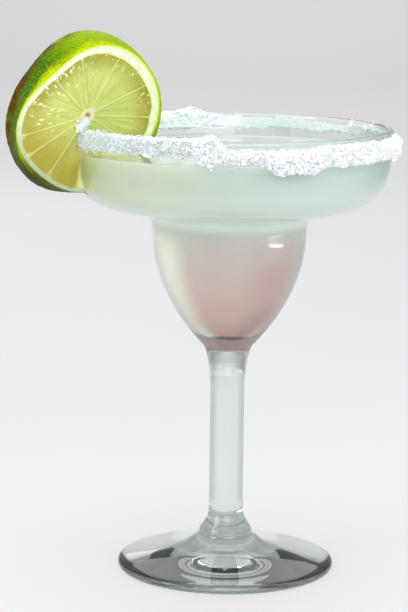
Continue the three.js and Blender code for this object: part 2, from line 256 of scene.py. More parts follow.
MEMBRANE, CORE_PALE, CORE_RED = srgb(222, 228, 160), srgb(214, 210, 176), srgb(200, 108, 96)


def smooth(value, low, high):
    """0 below low, 1 above high, and 3t^2 - 2t^3 between."""
    t = np.clip((value - low) / (high - low), 0, 1)
    return t * t * (3 - 2 * t)


def lattice(i, j, seed):
    """A fixed random number from 0 to 1 for each whole-number place (i, j)."""
    wave = np.sin(i * 127.1 + j * 311.7 + seed * 74.7) * 43758.5453
    return wave - np.floor(wave)


def value_noise(x, y, seed, wrap):
    """Random numbers on a lattice, blended between its places by 3t^2 - 2t^3, from -1 to 1. x
    repeats after wrap places."""
    i, j = np.floor(x), np.floor(y)
    u, v = smooth(x - i, 0, 1), smooth(y - j, 0, 1)
    i, beside = i % wrap, (i + 1) % wrap
    low = lattice(i, j, seed) * (1 - u) + lattice(beside, j, seed) * u
    high = lattice(i, j + 1, seed) * (1 - u) + lattice(beside, j + 1, seed) * u
    return 2 * (low * (1 - v) + high * v) - 1


def bezier(start, row):
    """A curve's points after its start: (1-t)^3 a + 3(1-t)^2 t b + 3(1-t) t^2 c + t^3 d."""
    a, b, c, d = np.array([start, row[0:2], row[2:4], row[4:6]], float)
    t = np.linspace(0, 1, PER_CURVE + 1)[1:, None]
    return (1 - t) ** 3 * a + 3 * (1 - t) ** 2 * t * b + 3 * (1 - t) * t**2 * c + t**3 * d


def follow(start, rows):
    """The points of a side of the glass: its rows of curves and straight stretches in order."""
    points = np.array([start], float)
    for row in rows:
        if len(row) == 2:
            stretch = np.linspace(points[-1], row, PER_LINE + 1)[1:]
        else:
            stretch = bezier(points[-1], row)
        points = np.concatenate([points, stretch])
    return points


def moved_out(profile, distance):
    """The profile moved along its normal, which is its direction turned a quarter clockwise."""
    along = np.gradient(profile, axis=0)
    along /= np.linalg.norm(along, axis=1, keepdims=True)
    return profile + distance * np.stack([along[:, 1], -along[:, 0]], 1)


def ring_points(radius, height, angle):
    """(r cos a, r sin a, z) for arrays of radius, height and angle."""
    return np.stack([radius * np.cos(angle), radius * np.sin(angle), height + 0 * angle], -1)


def piece_from(name, points, faces, replaced=None, smooth_shading=True):
    """A piece from points in mm and faces, turned to point outwards, riding on the one body."""
    points = points * MM
    corners = [points[faces[0][:, k]] for k in range(3)]
    if np.einsum("ij,ij->", corners[0], np.cross(corners[1], corners[2])) < 0:
        faces = [face[:, ::-1] for face in faces]
    mesh = bpy.data.meshes.new(name)
    mesh.from_pydata(points.tolist(), [], [face for block in faces for face in block.tolist()])
    if smooth_shading:
        mesh.shade_smooth()
    piece = bpy.data.objects.new(name, mesh)
    bpy.context.scene.collection.objects.link(piece)
    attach(piece, "root")
    if replaced:
        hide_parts(replaced)
    return piece


def skin(name, grid, replaced=None, closed=False):
    """A skin over a grid of points (rows, columns, 3). The columns close on each other. So do
    the rows when closed is set. Otherwise the first and last row shrink to a pole each."""
    rows, columns = grid.shape[:2]
    row = np.arange(rows if closed else rows - 1)[:, None]
    column = np.arange(columns)[None]
    beside = (column + 1) % columns
    above = (row + 1) % rows
    low, high = row * columns, above * columns
    corners = [low + column, low + beside, high + beside, high + column]
    faces = [np.stack(corners, -1).reshape(-1, 4)]
    points = grid.reshape(-1, 3)
    if not closed:
        first, last = len(points), len(points) + 1
        points = np.concatenate([points, grid[0].mean(0)[None], grid[-1].mean(0)[None]])
        column, beside = column[0], beside[0]
        start = np.stack([np.full(columns, first), beside, column], -1)
        base = (rows - 1) * columns
        end = np.stack([np.full(columns, last), base + column, base + beside], -1)
        faces += [start, end]
    return piece_from(name, points, faces, replaced)


def lay_attribute(piece, name, values):
    """Keeps an array of a number or a vector for each point on the mesh, for its material."""
    kind, key = ("FLOAT", "value") if values.ndim == 1 else ("FLOAT_VECTOR", "vector")
    kept = piece.data.attributes.new(name, kind, "POINT")
    kept.data.foreach_set(key, values.astype(np.float32).ravel())


def turned(profile):
    """A profile of (radius, height) points turned once round the Z axis."""
    angle = np.linspace(0, 2 * np.pi, GLASS_COLUMNS, endpoint=False)[None]
    return ring_points(profile[:, :1], profile[:, 1:], angle)


def glass_profile():
    """The foot's underside, the outside, a half-round lip, and the inside down to the floor."""
    start = np.linspace([POLE_GAP, 0], [FOOT_RADIUS - FOOT_INSET, 0], 12)
    outside = follow(start[-1], OUTSIDE)
    turn = np.linspace(0, np.pi, 13)[1:-1]
    across = RIM_RADIUS - LIP + LIP * np.cos(turn)
    lip = np.stack([across, GLASS_HEIGHT - LIP + LIP * np.sin(turn)], 1)
    inside = follow((INSIDE_RIM, GLASS_HEIGHT - LIP), INSIDE)[:-1]
    return np.concatenate([start[:-1], outside, lip, inside])


def inner_wall_radius(height):
    """The radius of the straight inner wall at a height above the upper bowl's curve."""
    top = GLASS_HEIGHT - LIP
    return INSIDE_RIM - WALL_TAPER * (top - height) / (top - BOWL_TOP)


def drink_profile():
    """The level surface, a meniscus that rises as t^3 to the wall, and down just inside the
    wall's own glass to the floor, so that no air shows between."""
    brim = DRINK_LEVEL + MENISCUS_RISE
    reach = inner_wall_radius(brim) + INTO_WALL
    flat = np.linspace([POLE_GAP, DRINK_LEVEL], [reach - MENISCUS_WIDTH, DRINK_LEVEL], 24)
    t = np.linspace(0, 1, 9)[1:]
    edge = np.stack([reach - MENISCUS_WIDTH * (1 - t), DRINK_LEVEL + MENISCUS_RISE * t**3], 1)
    side = moved_out(follow((inner_wall_radius(brim), brim), INSIDE), -INTO_WALL)
    return np.concatenate([flat, edge, side[1:-1]])


def lime_frame():
    """The wheel's middle, and its x into the glass, y up the wheel and z out of its front."""
    inward = np.array([-np.cos(LIME_FACING), -np.sin(LIME_FACING), 0])
    up = np.array([0, 0, 1.0])
    across = np.cross(inward, up)
    middle = ring_points(RIM_RADIUS - LIP, GLASS_HEIGHT + LIME_ABOVE_RIM, LIME_AZIMUTH)
    straight, leaning = np.cos(LIME_LEAN), np.sin(LIME_LEAN)
    axes = [inward, straight * up + leaning * across, straight * across - leaning * up]
    return middle, np.stack(axes)


def outline(form, angle):
    """Points of a wheel outline: middle + radius (1 + the sum of share cos(n (a - phase)))."""
    radius, middle, waves = form
    waves = [size * np.cos(count * (angle - np.radians(phase))) for count, size, phase in waves]
    share = 1 + sum(waves)
    across = middle[0] + radius * share * np.cos(angle)
    return np.stack([across, middle[1] + radius * share * np.sin(angle)], -1)


def membrane_nearness(flat):
    """1 on a membrane and 0 away from it: exp(-(d / w)^2) for the distance d in mm to the
    nearest ray from the core, where w grows towards the pith."""
    edge = outline(FACE, MEMBRANES) - CORE
    ray = edge / np.linalg.norm(edge, axis=1, keepdims=True)
    away = flat - CORE
    along = away @ ray.T
    side = away[..., :1] * ray[:, 1] - away[..., 1:] * ray[:, 0]
    radius = np.linalg.norm(away, axis=-1, keepdims=True)
    width = 0.2 + 1.1 * smooth(radius / np.linalg.norm(edge, axis=1), 0.72, 0.98) ** 3
    distance = np.where(along > 0, np.abs(side), 99) / width
    return np.exp(-(distance.min(-1) ** 2))


def ray_place(flat):
    """The turn round the core, from 0 to 1 and starting at the first membrane, the distance
    from the core in mm, and 0."""
    away = flat - CORE
    turn = np.arctan2(away[..., 1], away[..., 0]) / (2 * np.pi) % 1
    return np.stack([turn, np.linalg.norm(away, axis=-1), 0 * turn], -1)


def lime_face(side, share, rows, angle, seed):
    """One cut face as heights over rings from the core to the edge, and its zones from 0 to 1.
    The flesh lies a little below the pith, with juice cells as long ripples along the rays,
    raised membranes, and a pit exp(-(r / radius)^2) at the core."""
    edge = outline(FACE, angle) * (1 - share) + outline(RIND, angle) * share
    turn = angle / (2 * np.pi)
    pith = PITH_SHARE - PITH_DRIFT * np.cos(angle - PITH_SIDE)
    pith = pith + PITH_SCALLOP * value_noise(turn * 30, 0 * turn, seed + 3, 30)
    out = np.concatenate([np.linspace(CORE_START, 1, rows), np.full(PITH_ROWS, 1.0)])[:, None]
    to_edge = np.concatenate([np.zeros(rows), np.linspace(0, 1, PITH_ROWS + 1)[1:]])[:, None]
    way = out * pith + to_edge * (FACE_END - pith)
    flat = CORE + way[..., None] * (edge - CORE)
    radius = np.linalg.norm(flat - CORE, axis=-1)
    membrane = membrane_nearness(flat)
    fleshy = smooth(1 - out, 0.0, 0.014) * (to_edge == 0) * smooth(radius, 1.4, 3)
    cells = value_noise(turn * 110, out * 5 + 0 * turn, seed, 110)
    fine = value_noise(turn * 260, out * 14 + 0 * turn, seed + 1, 260)
    swell = value_noise(turn * 30, out * 3 + 0 * turn, seed + 2, 30)
    depth = FLESH_SUNK - LONG_CELLS * cells - FINE_CELLS * fine - SEGMENT_SWELL * swell
    depth = fleshy * depth * (1 - membrane) + MEMBRANE_SUNK * membrane
    depth = depth + PIT_DEPTH * np.exp(-((radius / PIT_RADIUS) ** 2))
    points = np.concatenate([flat, (side * (LIME_HALF - depth))[..., None]], -1)
    oval = OVAL_AXES @ (flat - CORE + OVAL_SHIFT)[..., None]
    oval = np.linalg.norm(oval[..., 0] / OVAL_REACH, axis=-1)
    zone = {
        "flesh": fleshy,
        "membrane": membrane * (to_edge == 0) * smooth(radius, 2, 5),
        "core": np.exp(-((radius / 1.2) ** 2)),
        "core_ring": 1 - smooth(oval, 0.75, 1.1),
        "toward_pith": out * (to_edge == 0) + 1.0 * (to_edge > 0) + 0 * turn,
        "across_pith": to_edge + 0 * turn,
        "rind": 0 * way,
    }
    return points, zone


def rind_side(angle, rows):
    """The rind from the front edge to the back. At a height h from 1 to -1 its outline is the
    share 1 - ((h + 0.3) / 1.3)^2.4 of the way from the face's to the rind's above h = -0.3,
    and 1 - 0.5 ((-0.3 - h) / 0.7)^3 below it. Fine dents and broad lumps are added outwards."""
    height = np.cos(np.linspace(0.06, np.pi - 0.06, rows))[:, None]
    front = 1 - (np.clip(height + 0.3, 0, None) / 1.3) ** 2.4
    back = 1 - (1 - BACK_SHARE) * (np.clip(-0.3 - height, 0, None) / 0.7) ** 3
    share = np.minimum(front, back)[..., None]
    flat = outline(FACE, angle) * (1 - share) + outline(RIND, angle) * share
    turn = angle / (2 * np.pi)
    dents = RIND_DENTS * value_noise(turn * 130, height * 6 + 40 + 0 * turn, 31, 130)
    lumps = RIND_LUMPS * value_noise(turn * 14, height * 1.5 + 40 + 0 * turn, 32, 14)
    outward = np.stack([np.cos(angle), np.sin(angle)], -1) * (dents + lumps)[..., None]
    points = np.concatenate([flat + outward, (LIME_HALF * height + 0 * turn)[..., None]], -1)
    nothing = 0 * points[..., 0]
    zone = {name: nothing for name in ("flesh", "membrane", "core", "core_ring")}
    return points, zone | {name: nothing + 1 for name in ("toward_pith", "across_pith", "rind")}


def make_lime():
    """The wheel: front face, rind and back face as one skin, with its zones as attributes."""
    angle = np.linspace(0, 2 * np.pi, LIME_COLUMNS, endpoint=False)[None]
    front, front_zone = lime_face(1, 0, FRONT_ROWS, angle, 11)
    side, side_zone = rind_side(angle, RIND_ROWS)
    back, back_zone = lime_face(-1, BACK_SHARE, BACK_ROWS, angle, 21)
    back_zone = {name: values[::-1] for name, values in back_zone.items()}
    local = np.concatenate([front, side, back[::-1]])
    middle, axes = lime_frame()
    lime = skin("lime", middle + local @ axes, "lime_wheel")
    for name in front_zone:
        values = np.concatenate([front_zone[name], side_zone[name], back_zone[name]])
        lay_attribute(lime, name, np.concatenate([values.ravel(), values[0, :1], values[-1, :1]]))
    flat = np.concatenate([local.reshape(-1, 3), local[0].mean(0)[None], local[-1].mean(0)[None]])
    lay_attribute(lime, "wheel_place", flat)
    lay_attribute(lime, "ray_place", ray_place(flat[:, :2]))
    return lime


def wheel_behind(piece):
    """How near the wheel's front lies behind each point of a piece: exp(-z / fade) for the
    distance z in front of its face, within a circle about the face's size."""
    middle, axes = lime_frame()
    points = np.array([vertex.co for vertex in piece.data.vertices]) / MM
    local = (points - middle) @ axes.T
    away = local[:, :2] - FACE[1]
    inside = 1 - smooth(np.linalg.norm(away, axis=1), FACE[0] - 3, FACE[0])
    depth = local[:, 2] - LIME_HALF
    return np.exp(-np.clip(depth, 0, None) / FADE_BEHIND) * inside * smooth(depth, -3, -1)


def crust_size(azimuth):
    """How far the crust reaches down, up, out and inside, in mm, at azimuths in degrees, then
    how far the lip is covered and how coarse the salt is, from 0 to 1. Each clump adds a bell
    exp(-((a - a0) / spread)^2)."""
    coarse = np.minimum(smooth(azimuth, *COARSE_FROM) + 1 - smooth(azimuth, *COARSE_TO), 1)
    bare = np.minimum(smooth(azimuth, *BARE_FROM) + 1 - smooth(azimuth, *BARE_TO), 1)
    bell = [np.exp(-(((azimuth - place) / spread) ** 2)) for place, spread, *_ in CLUMPS]
    added = [sum(share * clump[2 + k] for share, clump in zip(bell, CLUMPS)) for k in range(3)]
    down = CRUST_DOWN + COARSE_DOWN * coarse + added[0]
    drop = np.interp((azimuth - 150) % 360 + 150, *LIP_TO_CRUST)
    up = CRUST_UP - (CRUST_UP + drop) * bare + added[1]
    out = CRUST_OUT + COARSE_OUT * coarse + added[2]
    at_back = smooth(azimuth, *BACK_FROM) * (1 - smooth(azimuth, *BACK_TO))
    return down, up, out, CRUST_INSIDE + BACK_INSIDE * at_back, 1 - bare, coarse


def crust_point(azimuth, way, raised):
    """A point of the crust's skin as radius and height: way 0 to 1 climbs the outside from the
    crust's lower edge to the lip's top, and 1 to 1.6 goes over the lip and down the inside. The
    thickness swells as sin(pi (0.08 + 0.84 w))^0.6 on the outside. Below 0 lies the bare wall.
    raised lifts the point off the skin. Where the lip is bare, the top edge turns into the
    wall instead."""
    down, up, out, inside, covered, _ = crust_size(azimuth)
    climb = np.clip(way, 0, 1)
    over = np.clip((way - 1) / WAY_OVER, 0, 1)
    thick = out * np.sin(np.pi * np.clip(0.08 + 0.84 * climb, 0, 1)) ** 0.6 + raised
    thick = np.where(way < 0, raised + 0.05, thick)
    round_top = smooth(climb, 0.86, 1)
    radius = RIM_RADIUS + thick * (1 - round_top) - LIP * covered * round_top**2
    height = GLASS_HEIGHT - down + (down + up) * np.minimum(way, 1) + raised * smooth(climb, 0.8, 1)
    inward = (LIP + THICK_INSIDE + raised) * covered + BARE_SEAT * (1 - covered)
    fall = (inside + up) * smooth(over, 0.1, 1) + raised * smooth(over, 0, 0.5)
    return radius - inward * smooth(over, 0, 0.35), height - fall * covered


def clear_of_lime(points, room):
    """True for points at least that far, in mm, from the wheel's own space."""
    middle, axes = lime_frame()
    local = (points - middle) @ axes.T
    away = np.hypot(local[..., 0] - RIND[1][0], local[..., 1] - RIND[1][1])
    return (np.abs(local[..., 2]) > LIME_HALF + room) | (away > RIND[0] + 1 + room)


def make_crust():
    """The damp crust under the crystals: its section carried round the rim, grained by noise,
    with lumps on the coarse stretch and a ragged lower edge, and closed within the wall."""
    turn = np.arange(CRUST_COLUMNS)[:, None] / CRUST_COLUMNS
    azimuth = 360 * turn
    way = np.linspace(0, 1 + WAY_OVER, CRUST_ROWS)[None]
    covered, coarse = crust_size(azimuth)[4:]
    grain = value_noise(turn * 900, way * 22, 41, 900)
    grain = grain + 0.6 * value_noise(turn * 300, way * 9, 42, 300)
    lumps = np.clip(value_noise(turn * 170, way * 4, 44, 170) + 0.2, 0, None)
    fade = smooth(way, 0, 0.1) * (1 - smooth(way, 1.45, 1 + WAY_OVER))
    lift = ((0.1 + 0.1 * coarse) * grain + 0.7 * coarse * lumps) * fade
    ragged = 0.5 * value_noise(turn * 220, 0 * way, 43, 220)
    ragged = ragged + 0.7 * value_noise(turn * 70, 0 * way, 45, 70)
    radius, height = crust_point(azimuth, way, lift)
    height = height + ragged * (1 - smooth(way, 0, 0.4))
    within = RIM_RADIUS - LIP * covered - BARE_SEAT * (1 - covered)
    down_within = height[:, -1:] + (height[:, :1] - height[:, -1:]) * WITHIN_ROWS
    radius = np.concatenate([radius, within + 0 * down_within], 1)
    height = np.concatenate([height, down_within], 1)
    points = ring_points(radius, height, np.radians(azimuth))
    return skin("salt_crust", points, "salt_rim", closed=True)


def crystals(name, azimuth, way, size, lift):
    """Crystals of the given sizes in mm, seated on the crust's skin, clear of the wheel."""
    radius, height = crust_point(azimuth, way, lift * size)
    centre = ring_points(radius, height, np.radians(azimuth))
    kept = clear_of_lime(centre, -0.4)
    return cubes_at(name, centre[kept], size[kept])


def cubes_at(name, centre, size):
    """Cubes of the given sizes in mm round their middles, each turned and stretched at random."""
    count = len(centre)
    turn, _ = np.linalg.qr(random.normal(size=(count, 3, 3)))
    turn[:, :, 0] *= np.sign(np.linalg.det(turn))[:, None]
    stretch = 1 + STRETCH * random.uniform(-1, 1, (count, 1, 3))
    cubes = np.einsum("nij,nkj->nki", turn, CUBE_CORNERS[None] * stretch * size[:, None, None])
    points = (cubes + centre[:, None]).reshape(-1, 3)
    faces = (CUBE_FACES[None] + 8 * np.arange(count)[:, None, None]).reshape(-1, 4)
    return piece_from(name, points, [faces], smooth_shading=False)


def scatter_salt():
    """Fine grains all round, a few of them strayed below the crust and about a third of them
    left on the lip's top where it is covered, and coarse grains on the coarse stretch."""
    azimuth = random.uniform(0, 360, FINE_CRYSTALS)
    way = random.uniform(*FINE_WAYS, FINE_CRYSTALS)
    covered, coarse = crust_size(azimuth)[4:]
    stray = 0.2 - 0.1 * coarse
    way = np.where(way < 0, -stray * random.uniform(size=FINE_CRYSTALS) ** 2, way)
    kept = (way < TOP_WAY) | (random.uniform(size=FINE_CRYSTALS) < KEPT_ON_TOP * covered)
    size = random.uniform(*FINE_SIZES, FINE_CRYSTALS)
    fine = crystals("salt_fine_grains", azimuth[kept], way[kept], size[kept], 0.12)
    azimuth = random.uniform(*COARSE_ROUND, COARSE_CRYSTALS) % 360
    way = random.uniform(*COARSE_WAYS, COARSE_CRYSTALS) ** 0.9
    size = COARSE_LEAST + COARSE_SPAN * random.uniform(size=COARSE_CRYSTALS) ** 3
    coarse = crystals("salt_coarse_grains", azimuth, way, size, 0.16)
    return fine, coarse


def salt_in_slit():
    """A pinch of salt pressed into the slit, along a line down from the wheel's core, thickest
    at its middle. Every sixth grain lies loose on the face beside it, just over the rim."""
    along = random.uniform(0, 1, SLIT_GRAINS)
    spread = random.normal(size=(SLIT_GRAINS, 2)) * (0.35 + 0.9 * np.sin(np.pi * along))[:, None]
    flat = SLIT_START + along[:, None] * SLIT_RUN + 0.75 * spread
    loose = np.arange(SLIT_GRAINS) % 6 == 0
    flat[loose] = random.uniform(*LOOSE_PATCH, (loose.sum(), 2))
    heaped = 0.7 * np.exp(-((spread**2).sum(1)) / 1.2) * random.uniform(0.4, 1, SLIT_GRAINS)
    local = np.concatenate([flat, (LIME_HALF - 0.2 + heaped)[:, None]], 1)
    middle, axes = lime_frame()
    size = random.uniform(*SLIT_SIZES, SLIT_GRAINS)
    return cubes_at("salt_slit_grains", middle + local @ axes, size)


def node(tree, kind, inputs=(), **settings):
    """Adds a shader node. inputs maps sockets to values or to the sockets that feed them."""
    made = tree.nodes.new("ShaderNode" + kind)
    for key, value in settings.items():
        setattr(made, key, value)
    for key, value in dict(inputs).items():
        if isinstance(value, bpy.types.NodeSocket):
            tree.links.new(value, made.inputs[key])
        else:
            made.inputs[key].default_value = value
    return made


def calc(tree, operation, *values):
    """A sum, product or other operation on numbers."""
    return node(tree, "Math", enumerate(values), operation=operation).outputs[0]


def times(tree, one, other):
    """Two numbers multiplied."""
    return calc(tree, "MULTIPLY", one, other)


def remap(tree, value, low, high, to_low=0.0, to_high=1.0):
    """The value carried smoothly from one range to another, and held at its ends."""
    ends = {"From Min": low, "From Max": high, "To Min": to_low, "To Max": to_high}
    made = node(tree, "MapRange", {"Value": value} | ends, interpolation_type="SMOOTHSTEP")
    return made.outputs[0]


def mixed(tree, share, low, high):
    """Two colours mixed."""
    made = node(tree, "Mix", {0: share, 6: low, 7: high}, data_type="RGBA")
    return made.outputs[2]


def noise(tree, place, scale, detail=2.0, roughness=0.5):
    """Noise from 0 to 1 at a place."""
    given = {"Vector": place, "Scale": scale, "Detail": detail, "Roughness": roughness}
    return node(tree, "TexNoise", given).outputs[0]


def scaled(tree, place, factors):
    """A place with each of its three numbers multiplied."""
    return node(tree, "VectorMath", {0: place, 1: factors}, operation="MULTIPLY").outputs[0]


def object_place(tree):
    """The Object coordinates socket."""
    return node(tree, "TexCoord").outputs["Object"]


def attribute(tree, name, kind="Fac"):
    """The socket of a number kept on the mesh, or of a vector with the kind Vector."""
    return node(tree, "Attribute", attribute_name=name).outputs[kind]


def new_material(name, piece):
    """A material with a Principled shader, put on a piece. Gives its tree and that shader."""
    material = bpy.data.materials.new(name)
    material.use_nodes = True
    piece.data.materials.append(material)
    return material.node_tree, material.node_tree.nodes["Principled BSDF"]


def set_shader(tree, shader, **values):
    """Sets or links the shader's sockets, named with _ for spaces."""
    for key, value in values.items():
        socket = shader.inputs[key.replace("_", " ")]
        if isinstance(value, bpy.types.NodeSocket):
            tree.links.new(value, socket)
        else:
            socket.default_value = value


def mottle_group():
    """A shared effect: soft mottling at a scale, put out as a mask and as a bump normal."""
    group = bpy.data.node_groups.new("mottle", "ShaderNodeTree")
    for name, kind in (("Place", "Vector"), ("Scale", "Float"), ("Bump", "Float")):
        group.interface.new_socket(name, in_out="INPUT", socket_type="NodeSocket" + kind)
    for name, kind in (("Mask", "Float"), ("Normal", "Vector")):
        group.interface.new_socket(name, in_out="OUTPUT", socket_type="NodeSocket" + kind)
    given = group.nodes.new("NodeGroupInput").outputs
    result = group.nodes.new("NodeGroupOutput").inputs
    mask = noise(group, given["Place"], given["Scale"], detail=4.0, roughness=0.6)
    bump = node(group, "Bump", {"Height": mask, "Strength": given["Bump"], "Distance": 0.0004})
    group.links.new(mask, result["Mask"])
    group.links.new(bump.outputs[0], result["Normal"])
    return group


MOTTLE = mottle_group()


def mottle(tree, place, scale, bump):
    """The shared mottling in a material. Gives its mask and its normal."""
    made = node(tree, "Group", node_tree=MOTTLE)
    tree.links.new(place, made.inputs["Place"])
    made.inputs["Scale"].default_value = scale
    made.inputs["Bump"].default_value = bump
    return made.outputs["Mask"], made.outputs["Normal"]


def glass_finish(piece):
    """Clear colourless pressed glass, with faint smears that barely soften it and a painted grey
    shade where it is seen edge-on, for the dark edges that glass shows: not on the foot's rim,
    not beside the drink's shoulder, and sooner on the stem. Direct and scattered light passes
    straight through, so that what stands behind or under it is lit."""
    tree, shader = new_material("clear_glass", piece)
    smear, ripple = mottle(tree, object_place(tree), 45.0, 0.02)
    rough = remap(tree, smear, 0.45, 0.8, 0.0, 0.05)
    height = node(tree, "SeparateXYZ", {0: object_place(tree)}).outputs["Z"]
    facing = node(tree, "LayerWeight", {"Blend": 0.5}).outputs["Facing"]
    # Painted grey shade where the glass is seen edge-on, for the dark edges that glass shows
    edge = times(tree, remap(tree, facing, 0.3, 0.85), remap(tree, height, *ABOVE_FOOT))
    below, above = remap(tree, height, *BELOW_SHOULDER), remap(tree, height, *ABOVE_SHOULDER)
    edge = times(tree, edge, calc(tree, "MAXIMUM", below, above))
    on_stem = times(tree, remap(tree, height, *STEM_FROM), remap(tree, height, *STEM_TO))
    stem_painted_shade = times(tree, remap(tree, facing, 0.12, 0.45, 0.0, 0.8), on_stem)
    edge = calc(tree, "MAXIMUM", edge, stem_painted_shade)
    tint = mixed(tree, edge, FACE_ON, EDGE_PAINTED_SHADE)
    set_shader(tree, shader, Base_Color=tint, Roughness=rough, IOR=1.5)
    set_shader(tree, shader, Transmission_Weight=1.0, Normal=ripple)
    path = node(tree, "LightPath").outputs
    straight = calc(tree, "MAXIMUM", path["Is Shadow Ray"], path["Is Diffuse Ray"])
    output = tree.nodes["Material Output"].inputs
    depth = node(tree, "VolumeAbsorption", {"Color": GLASS_DEPTH, "Density": 25.0})
    tree.links.new(depth.outputs[0], output["Volume"])
    clear = node(tree, "BsdfTransparent", {"Color": STRAIGHT_THROUGH}).outputs[0]
    both = node(tree, "MixShader", {0: straight, 1: shader.outputs[0], 2: clear}).outputs[0]
    tree.links.new(both, output["Surface"])


def drink_finish(piece):
    """A cloudy liquid. The bowl is pale mint, cooler to the right, with painted light on its
    underside where its own shade falls. The well is greyer, rosier downwards, with painted light
    on its two sides for the bright edges of the glass, a warm patch low on the right and a painted
    dark reflection at its tip. Soft drifts of pulp bend the bands, and the skin is greener and
    yellower where the wheel hangs close behind it."""
    tree, shader = new_material("cloudy_drink", piece)
    place = object_place(tree)
    parts = node(tree, "SeparateXYZ", {0: place}).outputs
    across, height = parts["X"], parts["Z"]
    drift, _ = mottle(tree, place, 38.0, 0.0)
    sway = times(tree, calc(tree, "SUBTRACT", drift, 0.5), 0.012)
    level = calc(tree, "ADD", height, sway)
    reach = node(tree, "VectorMath", {0: scaled(tree, place, (1, 1, 0))}, operation="LENGTH")
    side = calc(tree, "DIVIDE", across, reach.outputs["Value"])
    bowl = mixed(tree, remap(tree, across, -0.05, 0.045), BOWL_LEFT, BOWL_RIGHT)
    well = mixed(tree, remap(tree, level, *UP_WELL), WELL_LOW, WELL_HIGH)
    # Painted light on the well's two sides, for the bright edges that the glass wall gives them
    well = mixed(tree, remap(tree, side, -0.5, -0.97, 0.0, 0.9), well, WELL_LEFT_PAINTED_LIGHT)
    well = mixed(tree, remap(tree, side, 0.8, 0.98, 0.0, 0.45), well, WELL_RIGHT_PAINTED_LIGHT)
    warm = times(tree, remap(tree, side, 0.1, 0.65, 0.0, 0.5), remap(tree, side, 0.97, 0.75))
    well = mixed(tree, times(tree, warm, remap(tree, level, *WARM_UNDER)), well, WARM_PATCH)
    # Painted dark reflection at the drink's tip
    well = mixed(tree, times(tree, remap(tree, height, *PAINTED_TIP_HEIGHTS), 0.85), well, TIP_PAINTED_REFLECTION)
    colour = mixed(tree, remap(tree, level, *INTO_BOWL), well, bowl)
    # Painted light on the bowl's underside, down to the shoulder, where the drink's own shade falls
    under = calc(tree, "MINIMUM", remap(tree, height, *UNDER_BOWL), remap(tree, height, *OVER_WELL))
    colour = mixed(tree, times(tree, under, 0.85), colour, UNDERSIDE_PAINTED_LIGHT)
    colour = mixed(tree, remap(tree, drift, 0.35, 0.8, 0.0, 0.25), colour, PULP)
    near = attribute(tree, "wheel_behind")
    colour = mixed(tree, times(tree, near, 0.85), colour, LIME_BEHIND)
    colour = mixed(tree, remap(tree, near, 0.9, 0.97, 0.0, 0.7), colour, LIME_TOUCHING)
    rough = remap(tree, height, *MATT_TIP, 0.06, 0.6)
    set_shader(tree, shader, Base_Color=colour, Roughness=rough, IOR=1.34)
    set_shader(tree, shader, Subsurface_Weight=0.8, Subsurface_Scale=0.009)
    set_shader(tree, shader, Subsurface_Radius=(0.95, 1.0, 0.9))


def salt_finish(piece, wet_from, dry_from, soft):
    """Damp salt: greyer and bluer to the left and at the back, where it is fine and wet, and
    white to the right, with painted blue-grey shade in the dips of its mottled bumps, and a soft
    gloss. It turns from wet to dry between the two given places along X. soft is how much light
    it lets through."""
    tree, shader = new_material("salt", piece)
    place = object_place(tree)
    mask, bump = mottle(tree, place, 1500.0, 0.5)
    parts = node(tree, "SeparateXYZ", {0: place}).outputs
    behind = calc(tree, "SUBTRACT", parts["Y"], parts["X"])
    dry = remap(tree, parts["X"], wet_from, dry_from)
    dry = times(tree, dry, remap(tree, behind, 0.035, 0.005))
    # Painted blue-grey shade in the dips of the mottled bumps
    shaded_hollows = mixed(tree, dry, WET_PAINTED_SHADE, DRY_PAINTED_SHADE)
    white = mixed(tree, dry, WET_SALT, DRY_SALT)
    colour = mixed(tree, remap(tree, mask, 0.3, 0.7), shaded_hollows, white)
    set_shader(tree, shader, Base_Color=colour, Roughness=0.34, Normal=bump, IOR=1.54)
    set_shader(tree, shader, Subsurface_Weight=soft, Subsurface_Scale=0.0015)
    set_shader(tree, shader, Subsurface_Radius=(1, 1, 1))


